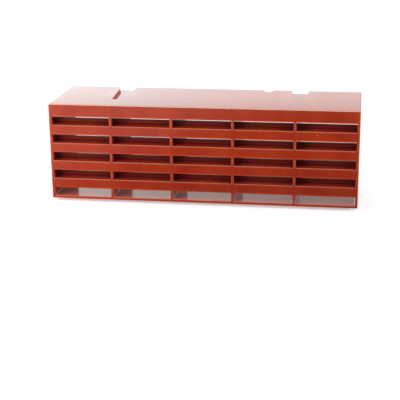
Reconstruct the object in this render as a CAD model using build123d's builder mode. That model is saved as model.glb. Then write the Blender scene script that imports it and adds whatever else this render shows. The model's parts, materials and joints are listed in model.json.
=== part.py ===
from build123d import *
import os
from math import radians, tan

# Overall size of the moulding, without its lugs
width = 215.0
depth = 64.0
body_height = 68.0

# Walls, measured at the front where the cells are narrowest
wall = 2.0
divider_wall = 1.8
front_plate = 2.0
cell_draft = 0.4  # degrees, on the four sides of every cell

# Front grid of slots, with a plain fascia above it
columns = 5
rows = 5
fascia_height = 8.8
slot_height = 6.0

# Rain blade behind each bar: a shelf that slopes up to an upstand
blade_wall = 1.5
shelf_depth = 7.2
shelf_rise = 1.15
upstand_rise = 3.8

# Dovetail lugs under the base, over the outer dividers
lug_height = 2.0
lug_length = 33.0
lug_root_width = 10.0  # at the rear edge
flank_taper = 4.0  # degrees in plan, narrowing to the front
dovetail_angle = 25.0  # degrees of undercut

# Sockets in the top that take the lugs of the brick above
key_side_clearance = 1.0
key_depth_clearance = 0.2
socket_overrun = 10.5

# Pockets that hang from the top wall round the sockets
pocket_wall = 1.8  # under the socket's floor
pocket_margin = 3.8  # beyond the socket's floor, where the flank meets the top wall
pocket_slope = 23.0  # degrees from level

# Small notch in the rear edge of the top wall
notch_offset = 40.4
notch_width = 8.0
notch_floor_width = 4.5
notch_depth = 1.1
notch_length = 6.0

# Rounded edges
outer_round = 0.7
slot_round = 0.4
cell_round = 1.0  # at the rear, where the cells are widest

# Levels and pitches that follow from the sizes above
base_level = lug_height
top_level = base_level + body_height
front = -depth / 2
rear = depth / 2
cell_width = (width - 2 * wall - (columns - 1) * divider_wall) / columns
cell_height = body_height - 2 * wall
cell_pitch = cell_width + divider_wall
cell_depth = depth - front_plate
draft_gain = 2 * cell_depth * tan(radians(cell_draft))
bar_height = (body_height - wall - fascia_height - rows * slot_height) / (rows - 1)
row_pitch = slot_height + bar_height
middle_slot_level = base_level + wall + slot_height / 2 + row_pitch * (rows - 1) / 2
bar_tops = [base_level + wall + row_pitch * row for row in range(1, rows)]
key_offset = cell_pitch * (columns - 2) / 2
socket_depth = lug_height + key_depth_clearance
socket_length = lug_length + socket_overrun
LEFT = -1
RIGHT = 1


def undercut(height):
    """Sideways reach of the dovetail over a height."""
    return height * tan(radians(dovetail_angle))


def key_outline(side, rear_half_width, length):
    """Plan of one key: a trapezium from the rear edge, narrower at its front."""
    front_half_width = rear_half_width - length * tan(radians(flank_taper))
    with Locations((side * key_offset, 0)):
        Polygon(
            (-rear_half_width, rear),
            (rear_half_width, rear),
            (front_half_width, rear - length),
            (-front_half_width, rear - length),
            align=None,
        )


with BuildPart() as air_brick:
    # Outer block, rounded along its depth and round its front face
    with BuildSketch(Plane.XY.offset(base_level)):
        Rectangle(width, depth)
    extrude(amount=body_height)
    fillet(air_brick.edges().filter_by(Axis.Y), radius=outer_round)
    fillet(air_brick.faces().sort_by(Axis.Y)[0].edges(), radius=outer_round)

    # Open cells between the dividers, cored from the rear
    cell_plane = Plane((0, rear, base_level + body_height / 2), x_dir=(-1, 0, 0), z_dir=(0, 1, 0))
    with BuildSketch(cell_plane) as cell_mouths:
        with GridLocations(cell_pitch, 0, columns, 1):
            Rectangle(cell_width + draft_gain, cell_height + draft_gain)
        fillet(cell_mouths.vertices(), radius=cell_round)
    extrude(amount=-cell_depth, taper=cell_draft, mode=Mode.SUBTRACT)

    # Air slots through the front plate, with softened edges
    slot_plane = Plane((0, front, middle_slot_level), x_dir=(1, 0, 0), z_dir=(0, -1, 0))
    with BuildSketch(slot_plane):
        with GridLocations(cell_pitch, row_pitch, columns, rows):
            Rectangle(cell_width, slot_height)
    extrude(amount=-front_plate, mode=Mode.SUBTRACT)
    front_face = air_brick.faces().sort_by(Axis.Y)[0]
    fillet(front_face.inner_wires().edges(), radius=slot_round)

    # Rain blades, one behind each bar from end wall to end wall
    shelf_underside = shelf_rise - blade_wall
    blade_rear = front + shelf_depth + blade_wall
    plate_middle = front + front_plate / 2
    plate_rear = front + front_plate
    with BuildSketch(Plane.YZ):
        for bar_top in bar_tops:
            with Locations((0, bar_top)):
                Polygon(
                    (plate_middle, 0),
                    (plate_rear, 0),
                    (front + shelf_depth, shelf_rise),
                    (front + shelf_depth, upstand_rise),
                    (blade_rear, upstand_rise),
                    (blade_rear, shelf_underside),
                    (plate_rear, -blade_wall),
                    (plate_middle, -blade_wall),
                    align=None,
                )
    extrude(amount=width / 2 - wall / 2, both=True)

    # Pockets that hang from the top wall from front to rear, with sloping flanks
    socket_mouth = lug_root_width / 2 + key_side_clearance
    socket_floor = socket_mouth + undercut(socket_depth)
    pocket_root = socket_floor + pocket_margin
    pocket_drop = socket_depth + pocket_wall - wall
    pocket_foot = pocket_root - pocket_drop / tan(radians(pocket_slope))
    pocket_lap = wall / 2
    pocket_top = pocket_root + pocket_lap / tan(radians(pocket_slope))
    with BuildSketch(Plane.XZ.offset(-rear)):
        for side in (LEFT, RIGHT):
            with Locations((side * key_offset, top_level - wall)):
                Polygon(
                    (-pocket_top, pocket_lap),
                    (pocket_top, pocket_lap),
                    (pocket_foot, -pocket_drop),
                    (-pocket_foot, -pocket_drop),
                    align=None,
                )
    extrude(amount=depth - front_plate / 2)

    # Dovetail sockets in the pockets, open at the rear edge
    for side in (LEFT, RIGHT):
        with BuildSketch(Plane.XY.offset(top_level)):
            key_outline(side, socket_mouth, socket_length)
        with BuildSketch(Plane.XY.offset(top_level - socket_depth)):
            key_outline(side, socket_floor, socket_length)
        loft(mode=Mode.SUBTRACT)

    # Dovetail lugs under the base, wider at the foot than at the root
    lug_root = lug_root_width / 2
    lug_foot = lug_root + undercut(lug_height)
    for side in (LEFT, RIGHT):
        with BuildSketch(Plane.XY.offset(base_level)):
            key_outline(side, lug_root, lug_length)
        with BuildSketch(Plane.XY):
            key_outline(side, lug_foot, lug_length)
        loft()

    # Notch in the rear edge of the top wall: its floor slopes up and runs out in the top
    with BuildSketch(Plane.XZ.offset(-rear)):
        with Locations((notch_offset, top_level)):
            Polygon(
                (-notch_width / 2, 0),
                (notch_width / 2, 0),
                (notch_floor_width / 2, -notch_depth),
                (-notch_floor_width / 2, -notch_depth),
                align=None,
            )
    extrude(amount=2 * notch_length, dir=(0, -notch_length, notch_depth), mode=Mode.SUBTRACT)

air_brick.part.label = "air_brick"
os.makedirs("parts", exist_ok=True)
export_step(air_brick.part, "parts/air_brick.step")
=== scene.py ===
import json
from math import cos, pi, radians, sin

import bpy
from mathutils import Matrix, Vector

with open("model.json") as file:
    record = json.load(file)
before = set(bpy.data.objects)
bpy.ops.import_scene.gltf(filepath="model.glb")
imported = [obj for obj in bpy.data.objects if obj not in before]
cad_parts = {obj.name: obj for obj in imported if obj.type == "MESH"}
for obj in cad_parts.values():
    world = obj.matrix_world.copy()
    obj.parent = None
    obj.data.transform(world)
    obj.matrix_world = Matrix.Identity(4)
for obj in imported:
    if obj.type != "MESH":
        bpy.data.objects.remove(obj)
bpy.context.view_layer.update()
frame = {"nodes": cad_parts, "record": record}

WHITE = (1.0, 1.0, 1.0, 1.0)

# Camera: where it looks, from which side and how far, in metres and degrees
VIEW_TARGET = Vector((-0.0039, -0.0154, -0.0010))
VIEW_AZIMUTH = 8.68
VIEW_ELEVATION = 17.34
VIEW_DISTANCE = 0.750
VIEW_ROLL = -0.5
LENS = 94.48  # millimetres, as is the sensor's width
SENSOR = 36.0

# Plastic: linear colours and lengths in metres. A pair says where an effect is nil and where it is full.
PLASTIC_IOR = 1.5
DEEP_RED = (0.375, 0.023, 0.0030, 1.0)
WARM_RED = (0.450, 0.038, 0.0060, 1.0)
# Paler red for the edges, partly wear and partly painted highlight, and for pale specks
WEAR_AND_HIGHLIGHT_RED = (0.80, 0.20, 0.10, 1.0)
# Painted glint on the upper front edge
PAINTED_GLINT_RED = (0.95, 0.42, 0.30, 1.0)
# Dark red for painted shade in the recesses and at the foot, for a painted dark line, and for scuffs
SHADE_AND_MARK_RED = (0.12, 0.011, 0.013, 1.0)
# Painted light on the right-facing socket flanks and on the base inside
PAINTED_LIGHT_RED = (0.75, 0.12, 0.06, 1.0)
# Painted reflection in the pale bands beside the sockets
PAINTED_REFLECTION_RED = (0.72, 0.36, 0.30, 1.0)

# Mottled pigment, drawn out upright, with its noise in features per metre and its roughness from deep to warm
MOTTLE_SCALE = 60.0
MOTTLE_DETAIL = 4.0
MOTTLE_STRETCH = (1.0, 1.0, 0.3)
MOTTLE_RANGE = (0.35, 0.65)
GLOSS = (0.11, 0.13)

# Relief too fine to model: softened edges, slight waves and grain
EDGE_ROUND = 0.0003
WAVE_SCALE = 25.0
WAVE_DETAIL = 1.0
WAVE_HEIGHT = 0.0000015
GRAIN_SCALE = 1400.0
GRAIN_DETAIL = 2.0
GRAIN_HEIGHT = 0.000001
BEVEL_SAMPLES = 6
SHADE_SAMPLES = 8

# Paler edges: all of them a little, partly wear and partly painted highlight, the upper front ones and those
# at the right end more, as painted highlight
WEAR_AND_HIGHLIGHT_REACH = 0.0012
WEAR_AND_HIGHLIGHT_OPENNESS = (0.95, 0.65)
WEAR_AND_HIGHLIGHT_SHARE = 0.42
WEAR_AND_HIGHLIGHT_TOP = (0.0010, 0.0030)
UPPER_SLANT = (0.25, 0.42)
UPPER_SHARE = 0.85
RIGHT_END = 0.104
BROW_LEVEL = (0.0012, 0.0009)

# Sides that count as facing right, up or to the front, by the normal's share in that direction
FACING = (0.3, 0.7)

# Painted reflection in pale bands beside the sockets, and painted light on those flanks of the sockets that
# face right
BAND_EDGE = (0.0150, 0.0110)
BAND_FRONT = (-0.014, 0.004)
BAND_SKIN = (0.0035, 0.0025)
BAND_SHARE = 0.15
FLANK_EDGE = (0.0100, 0.0085)
FLANK_DULLNESS = 0.9

# Painted shade in a dark line along a slight sink outside the left socket, and scuffs in the top by their X
# and Y
LINE_OFFSET = 0.0140
LINE_EDGE = (0.0006, 0.0003)
LINE_SHARE = 0.5
SCUFFS = [(-0.0519, 0.0055), (0.0195, -0.0014), (0.0414, -0.0024)]
SCUFF_EDGE = (0.0013, 0.0006)
SCUFF_SHARE = 0.7
MARK_SKIN = (0.0008, 0.0004)

# Painted light on the base inside, painted shade at the foot of the front, and pale specks
BASE_SHARE = 0.65
FOOT_LEVEL = (0.036, 0.012)
FOOT_SIDE = (-0.07, 0.0)
FOOT_SHARE = (0.06, 0.32)
SPECK_SCALE = 55.0
SPECK_EDGE = (0.030, 0.020)
SPECK_SHARE = 0.8

# Recesses: darker by painted shade, and with a specular level that falls as they darken
RECESS_REACH = 0.012
RECESS_OPENNESS = (0.9, 0.4)
RECESS_SHARE = 0.9
RECESS_TOP = (0.0025, 0.0040)
RECESS_BASE = (0.0042, 0.0052)
RECESS_SIDE = (-0.022, -0.027)
SPECULAR = (0.5, 0.04)

# Floor: its limits in X and Y, then its shade and glow for other rays and for the camera's
FLOOR_SPAN = (-3.0, 3.0)
FLOOR_SHADES = (0.22, 0.80)
FLOOR_GLOWS = (0.85, 0.40)

# World: the light it gives, and how bright it looks
WORLD_GLOWS = (0.6, 1.0)

# Glowing wall behind the brick, hidden from the camera: brighter low down and at the left, where it is cooler
WALL_DISTANCE = 1.6
WALL_WIDTH = 4.0
WALL_HEIGHT = 1.5
WALL_COLOUR = (1.0, 0.985, 0.96, 1.0)
WALL_COOL_COLOUR = (0.86, 0.985, 0.97, 1.0)
WALL_COOL_SPAN = (-0.15, -0.35)
WALL_SIDE_SPAN = (0.1, -1.2)
WALL_SIDE_GLOW = (0.55, 2.15)
WALL_LOW_SPAN = (0.447, 0.427)
WALL_LOW_GLOW = 1.15
WALL_END_SPAN = (0.1, 0.5)
WALL_END_SHARE = 0.3

# Dark card that lies in front of the brick, hidden from the camera, and fades to white at its left
CARD_COLOUR = (0.20, 0.15, 0.14, 1.0)
CARD_X = (-0.18, 0.14)
CARD_Y = (-0.36, -0.034)
CARD_LEVEL = 0.001
CARD_FADE = (-0.08, -0.24)
CARD_SLANT = 0.4

# Soft light panels: name, azimuth and elevation in degrees, distance, width and height in metres, radiance
LIGHT_AIM = Vector((0.0, 0.0, 0.04))
PANELS = [
    ("key_panel", -50.0, 14.0, 0.55, 0.30, 0.24, 9.5),
    ("fill_panel", 80.0, 15.0, 0.80, 0.30, 0.30, 13.0),
    ("rear_panel", 150.0, 40.0, 1.20, 0.60, 0.50, 1.5),
]


def add_node(tree, kind, values=None, **settings):
    """Adds a shader node with its settings and its input values."""
    node = tree.nodes.new(kind)
    for name, value in settings.items():
        setattr(node, name, value)
    for name, value in (values or {}).items():
        node.inputs[name].default_value = value
    return node


def split(tree, vector):
    """The X, Y and Z of a vector."""
    node = add_node(tree, "ShaderNodeSeparateXYZ")
    tree.links.new(vector, node.inputs[0])
    return node.outputs["X"], node.outputs["Y"], node.outputs["Z"]


def object_place(tree):
    """The place on the object, in its own frame."""
    return add_node(tree, "ShaderNodeTexCoord").outputs["Object"]


def calculate(tree, operation, first, second=0.0):
    """A sum, product or the like of two values, each a socket or a number."""
    node = add_node(tree, "ShaderNodeMath", operation=operation)
    for place, value in zip(node.inputs, (first, second)):
        if isinstance(value, float):
            place.default_value = value
        else:
            tree.links.new(value, place)
    return node.outputs[0]


def product(tree, *factors):
    """The product of two or more values."""
    total = factors[0]
    for factor in factors[1:]:
        total = calculate(tree, "MULTIPLY", total, factor)
    return total


def distance_from(tree, value, centre):
    """How far a value is from a centre, to either side."""
    return calculate(tree, "ABSOLUTE", calculate(tree, "SUBTRACT", value, centre))


def map_range(tree, value, span, result=(0.0, 1.0), course="LINEAR"):
    """A value brought from one range to another, and kept inside it."""
    limits = {"From Min": span[0], "From Max": span[1], "To Min": result[0], "To Max": result[1]}
    node = add_node(tree, "ShaderNodeMapRange", limits, interpolation_type=course)
    tree.links.new(value, node.inputs["Value"])
    return node.outputs["Result"]


def mix_colour(tree, factor, first, second):
    """A mix of two colours, of which the first may be a socket."""
    node = add_node(tree, "ShaderNodeMix", {"B": second}, data_type="RGBA")
    tree.links.new(factor, node.inputs["Factor"])
    if isinstance(first, tuple):
        node.inputs["A"].default_value = first
    else:
        tree.links.new(first, node.inputs["A"])
    return node.outputs["Result"]


def noise(tree, place, scale, detail):
    """Fractal noise at a place, about 0.5 on average."""
    node = add_node(tree, "ShaderNodeTexNoise", {"Scale": scale, "Detail": detail})
    tree.links.new(place, node.inputs["Vector"])
    return node.outputs["Fac"]


def openness(tree, reach, inside=False):
    """How open the surroundings are within a reach, 1 where nothing is near."""
    values = {"Distance": reach}
    node = add_node(tree, "ShaderNodeAmbientOcclusion", values, inside=inside, samples=SHADE_SAMPLES)
    return node.outputs["AO"]


def bump(tree, height, distance, normal):
    """A normal bent by a height field, on top of another normal."""
    node = add_node(tree, "ShaderNodeBump", {"Strength": 1.0, "Distance": distance})
    tree.links.new(height, node.inputs["Height"])
    tree.links.new(normal, node.inputs["Normal"])
    return node.outputs["Normal"]


def seen_directly(tree):
    """A factor of 1 for camera, glossy and transmission rays, and 0 for the rest."""
    path = add_node(tree, "ShaderNodeLightPath")
    total = path.outputs["Is Camera Ray"]
    for ray in ("Is Glossy Ray", "Is Transmission Ray"):
        total = calculate(tree, "MAXIMUM", total, path.outputs[ray])
    return total


def plastic_material(top_level, socket_offset):
    """Glossy terracotta plastic, with mottled pigment, edges paler by wear and painted highlight, a painted
    glint, painted reflection and painted light at the sockets and base, scuffs in the top, and painted shade
    in the recesses, in a line and at the foot.
    """
    material = bpy.data.materials.new("terracotta_plastic")
    material.use_nodes = True
    tree = material.node_tree
    shader = tree.nodes["Principled BSDF"]
    shader.inputs["IOR"].default_value = PLASTIC_IOR
    place = object_place(tree)
    x, y, z = split(tree, place)
    below_top = calculate(tree, "SUBTRACT", top_level, z)
    right, back, up = split(tree, add_node(tree, "ShaderNodeNewGeometry").outputs["Normal"])
    forward = product(tree, back, -1.0)
    rightward = map_range(tree, right, FACING)

    # Pigment
    upright = add_node(tree, "ShaderNodeVectorMath", operation="MULTIPLY")
    tree.links.new(place, upright.inputs[0])
    upright.inputs[1].default_value = MOTTLE_STRETCH
    mottle = noise(tree, upright.outputs["Vector"], MOTTLE_SCALE, MOTTLE_DETAIL)
    mottle = map_range(tree, mottle, MOTTLE_RANGE)
    colour = mix_colour(tree, mottle, DEEP_RED, WARM_RED)

    # Paler plastic along the edges, partly wear and partly painted highlight, most of all on the upper front
    # edges and at the right end, which is painted highlight
    edge_wear_and_highlight = map_range(tree, openness(tree, WEAR_AND_HIGHLIGHT_REACH, inside=True), WEAR_AND_HIGHLIGHT_OPENNESS, (0.0, WEAR_AND_HIGHLIGHT_SHARE))
    edge_wear_and_highlight = product(tree, edge_wear_and_highlight, map_range(tree, below_top, WEAR_AND_HIGHLIGHT_TOP))
    right_edge = product(tree, right, calculate(tree, "GREATER_THAN", x, RIGHT_END))
    slant = product(tree, forward, calculate(tree, "MAXIMUM", up, right_edge))
    upper = map_range(tree, slant, UPPER_SLANT, (0.0, UPPER_SHARE))
    colour = mix_colour(tree, calculate(tree, "MAXIMUM", edge_wear_and_highlight, upper), colour, WEAR_AND_HIGHLIGHT_RED)
    # Painted glint just below the top, on the edges that face up and to the front
    painted_glint = product(tree, upper, map_range(tree, below_top, BROW_LEVEL))
    colour = mix_colour(tree, painted_glint, colour, PAINTED_GLINT_RED)

    # Painted reflection: pale bands in the top, on both sides of each socket
    from_socket = distance_from(tree, calculate(tree, "ABSOLUTE", x), socket_offset)
    band_skin = map_range(tree, below_top, BAND_SKIN)
    band = map_range(tree, from_socket, BAND_EDGE, (0.0, BAND_SHARE), "SMOOTHSTEP")
    band = product(tree, band, map_range(tree, y, BAND_FRONT, course="SMOOTHSTEP"), band_skin)
    colour = mix_colour(tree, band, colour, PAINTED_REFLECTION_RED)

    # Painted light: clearer red on the flank of each socket that faces right
    flank = product(tree, rightward, map_range(tree, from_socket, FLANK_EDGE), band_skin)
    colour = mix_colour(tree, flank, colour, PAINTED_LIGHT_RED)

    # Painted shade in a dark line along a slight sink outside the left socket, and small scuffs in the top
    from_line = distance_from(tree, x, -(socket_offset + LINE_OFFSET))
    line = map_range(tree, from_line, LINE_EDGE, (0.0, LINE_SHARE))
    marks = product(tree, line, map_range(tree, y, BAND_FRONT))
    for scuff_x, scuff_y in SCUFFS:
        away = add_node(tree, "ShaderNodeVectorMath", operation="DISTANCE")
        tree.links.new(place, away.inputs[0])
        away.inputs[1].default_value = (scuff_x, scuff_y, top_level)
        scuff = map_range(tree, away.outputs["Value"], SCUFF_EDGE, (0.0, SCUFF_SHARE))
        marks = calculate(tree, "MAXIMUM", marks, scuff)
    marks = product(tree, marks, map_range(tree, below_top, MARK_SKIN))
    colour = mix_colour(tree, marks, colour, SHADE_AND_MARK_RED)

    # Painted light: clearer red on the base inside; painted shade: a duller foot of the front; and a few pale
    # specks
    above_base = map_range(tree, z, RECESS_BASE)
    upward = map_range(tree, up, FACING, (0.0, BASE_SHARE))
    base = product(tree, upward, calculate(tree, "SUBTRACT", 1.0, above_base))
    colour = mix_colour(tree, base, colour, PAINTED_LIGHT_RED)
    # Painted shade at the foot of the front, deeper towards the right
    foot = map_range(tree, x, FOOT_SIDE, FOOT_SHARE)
    foot = product(tree, map_range(tree, forward, FACING), foot, map_range(tree, z, FOOT_LEVEL))
    colour = mix_colour(tree, foot, colour, SHADE_AND_MARK_RED)
    specks = add_node(tree, "ShaderNodeTexVoronoi", {"Scale": SPECK_SCALE})
    tree.links.new(place, specks.inputs["Vector"])
    speck = map_range(tree, specks.outputs["Distance"], SPECK_EDGE, (0.0, SPECK_SHARE))
    colour = mix_colour(tree, speck, colour, WEAR_AND_HIGHLIGHT_RED)

    # Painted shade: deeper colour in the slots and cells, but not in the sockets, on the base or on
    # right-facing near sides
    recess = map_range(tree, openness(tree, RECESS_REACH), RECESS_OPENNESS, (0.0, RECESS_SHARE))
    recess = product(tree, recess, map_range(tree, below_top, RECESS_TOP), above_base)
    near_side = product(tree, rightward, map_range(tree, y, RECESS_SIDE))
    recess = product(tree, recess, calculate(tree, "SUBTRACT", 1.0, near_side))
    tree.links.new(mix_colour(tree, recess, colour, SHADE_AND_MARK_RED), shader.inputs["Base Color"])

    # Gloss that varies a little with the pigment, weaker in the recesses and on the sockets' flanks
    tree.links.new(map_range(tree, mottle, (0.0, 1.0), GLOSS), shader.inputs["Roughness"])
    dull = calculate(tree, "MAXIMUM", recess, product(tree, flank, FLANK_DULLNESS))
    sheen = map_range(tree, dull, (0.0, RECESS_SHARE), SPECULAR)
    tree.links.new(sheen, shader.inputs["Specular IOR Level"])

    # Softened edges, a slight waviness and a fine grain
    soft = add_node(tree, "ShaderNodeBevel", {"Radius": EDGE_ROUND}, samples=BEVEL_SAMPLES).outputs["Normal"]
    wavy = bump(tree, noise(tree, place, WAVE_SCALE, WAVE_DETAIL), WAVE_HEIGHT, soft)
    grainy = bump(tree, noise(tree, place, GRAIN_SCALE, GRAIN_DETAIL), GRAIN_HEIGHT, wavy)
    tree.links.new(grainy, shader.inputs["Normal"])
    return material


def bare_material(name):
    """A material with nothing but its output, with its node tree and the output's surface."""
    material = bpy.data.materials.new(name)
    material.use_nodes = True
    tree = material.node_tree
    tree.nodes.remove(tree.nodes["Principled BSDF"])
    return material, tree, tree.nodes["Material Output"].inputs["Surface"]


def glow_material(name):
    """An emission material, with its node tree and its emission node."""
    material, tree, surface = bare_material(name)
    glow = add_node(tree, "ShaderNodeEmission")
    tree.links.new(glow.outputs[0], surface)
    return material, tree, glow


def make_sheet(name, corners, material):
    """A flat four-cornered sheet that belongs to the stage."""
    mesh = bpy.data.meshes.new(name)
    mesh.from_pydata(corners, [], [(0, 1, 2, 3)])
    mesh.materials.append(material)
    sheet = bpy.data.objects.new(name, mesh)
    bpy.context.scene.collection.objects.link(sheet)
    return sheet


def level_corners(x_span, y_span, level):
    """Corners of a level rectangle, from its limits in X and Y."""
    (left, right), (near, far) = x_span, y_span
    return [(left, near, level), (right, near, level), (right, far, level), (left, far, level)]


def make_floor():
    """A flat white floor that still takes the shadow, and is clear from below."""
    material, tree, surface = bare_material("white_floor")
    matt = add_node(tree, "ShaderNodeBsdfDiffuse")
    glow = add_node(tree, "ShaderNodeEmission", {"Color": WHITE})
    in_view = add_node(tree, "ShaderNodeLightPath").outputs["Is Camera Ray"]
    tree.links.new(map_range(tree, in_view, (0.0, 1.0), FLOOR_SHADES), matt.inputs["Color"])
    level = map_range(tree, in_view, (0.0, 1.0), FLOOR_GLOWS)
    tree.links.new(product(tree, seen_directly(tree), level), glow.inputs["Strength"])
    both = add_node(tree, "ShaderNodeAddShader")
    tree.links.new(matt.outputs[0], both.inputs[0])
    tree.links.new(glow.outputs[0], both.inputs[1])
    one_sided = add_node(tree, "ShaderNodeMixShader")
    from_below = add_node(tree, "ShaderNodeNewGeometry").outputs["Backfacing"]
    tree.links.new(from_below, one_sided.inputs["Fac"])
    tree.links.new(both.outputs[0], one_sided.inputs[1])
    tree.links.new(add_node(tree, "ShaderNodeBsdfTransparent").outputs[0], one_sided.inputs[2])
    tree.links.new(one_sided.outputs[0], surface)
    make_sheet("floor", level_corners(FLOOR_SPAN, FLOOR_SPAN, 0.0), material)


def make_wall():
    """The glowing wall, for reflections and for light from behind. It is weaker at its right end."""
    material, tree, glow = glow_material("glowing_wall")
    x, _, z = split(tree, object_place(tree))
    cool = map_range(tree, x, WALL_COOL_SPAN)
    tree.links.new(mix_colour(tree, cool, WALL_COLOUR, WALL_COOL_COLOUR), glow.inputs["Color"])
    side = map_range(tree, x, WALL_SIDE_SPAN, WALL_SIDE_GLOW, "SMOOTHSTEP")
    low = map_range(tree, z, WALL_LOW_SPAN, (0.0, WALL_LOW_GLOW), "SMOOTHSTEP")
    end = map_range(tree, x, WALL_END_SPAN, (1.0, WALL_END_SHARE))
    tree.links.new(product(tree, calculate(tree, "ADD", side, low), end), glow.inputs["Strength"])
    half = WALL_WIDTH / 2
    corners = [(-half, 0, 0), (half, 0, 0), (half, 0, WALL_HEIGHT), (-half, 0, WALL_HEIGHT)]
    wall = make_sheet("glowing_wall", corners, material)
    wall.location.y = WALL_DISTANCE
    wall.visible_camera = False


def make_card():
    """The dark card, which deepens the colour of the front by its reflection alone. Its fade runs aslant."""
    material, tree, glow = glow_material("dark_card")
    x, y, _ = split(tree, object_place(tree))
    across = calculate(tree, "ADD", x, product(tree, y, CARD_SLANT))
    fade = map_range(tree, across, CARD_FADE, course="SMOOTHSTEP")
    tree.links.new(mix_colour(tree, fade, CARD_COLOUR, WHITE), glow.inputs["Color"])
    card = make_sheet("dark_card", level_corners(CARD_X, CARD_Y, CARD_LEVEL), material)
    card.visible_camera = False
    card.visible_diffuse = False
    card.visible_shadow = False


def make_world():
    """White to the camera and in reflections, and a softer level for the light that it gives."""
    world = bpy.data.worlds.new("studio")
    bpy.context.scene.world = world
    world.use_nodes = True
    tree = world.node_tree
    background = tree.nodes["Background"]
    background.inputs["Color"].default_value = WHITE
    level = map_range(tree, seen_directly(tree), (0.0, 1.0), WORLD_GLOWS)
    tree.links.new(level, background.inputs["Strength"])


def direction(azimuth, elevation):
    """Unit vector from the brick. Azimuth 0 is in front of it, and grows towards its right end."""
    turn = radians(azimuth)
    rise = radians(elevation)
    return Vector((sin(turn) * cos(rise), -cos(turn) * cos(rise), sin(rise)))


def make_panel(name, azimuth, elevation, distance, wide, high, radiance):
    """A soft rectangular light that faces the brick."""
    lamp = bpy.data.lights.new(name, "AREA")
    lamp.shape = "RECTANGLE"
    lamp.size = wide
    lamp.size_y = high
    lamp.energy = radiance * pi * wide * high
    panel = bpy.data.objects.new(name, lamp)
    outward = direction(azimuth, elevation)
    panel.location = LIGHT_AIM + outward * distance
    panel.rotation_euler = outward.to_track_quat("Z", "Y").to_euler()
    panel.visible_camera = False
    bpy.context.scene.collection.objects.link(panel)


def make_camera():
    """The camera, on its orbit round the target and rolled about its own axis."""
    lens = bpy.data.cameras.new("camera")
    lens.sensor_width = SENSOR
    lens.lens = LENS
    outward = direction(VIEW_AZIMUTH, VIEW_ELEVATION)
    turn = outward.to_track_quat("Z", "Y").to_matrix().to_4x4()
    camera = bpy.data.objects.new("camera", lens)
    place = Matrix.Translation(VIEW_TARGET + outward * VIEW_DISTANCE)
    camera.matrix_world = place @ turn @ Matrix.Rotation(radians(VIEW_ROLL), 4, "Z")
    bpy.context.scene.collection.objects.link(camera)
    bpy.context.scene.camera = camera


brick = frame["nodes"]["air_brick"]
mounts = {mount["name"]: mount["pos_m"] for mount in frame["record"]["mounts"]}
plastic = plastic_material(mounts["top_bed"][2], mounts["right_socket"][0])
for material_slot in brick.material_slots:
    material_slot.material = plastic

make_floor()
make_wall()
make_card()
make_world()
for panel_settings in PANELS:
    make_panel(*panel_settings)
make_camera()
bpy.context.scene.view_settings.view_transform = "Standard"
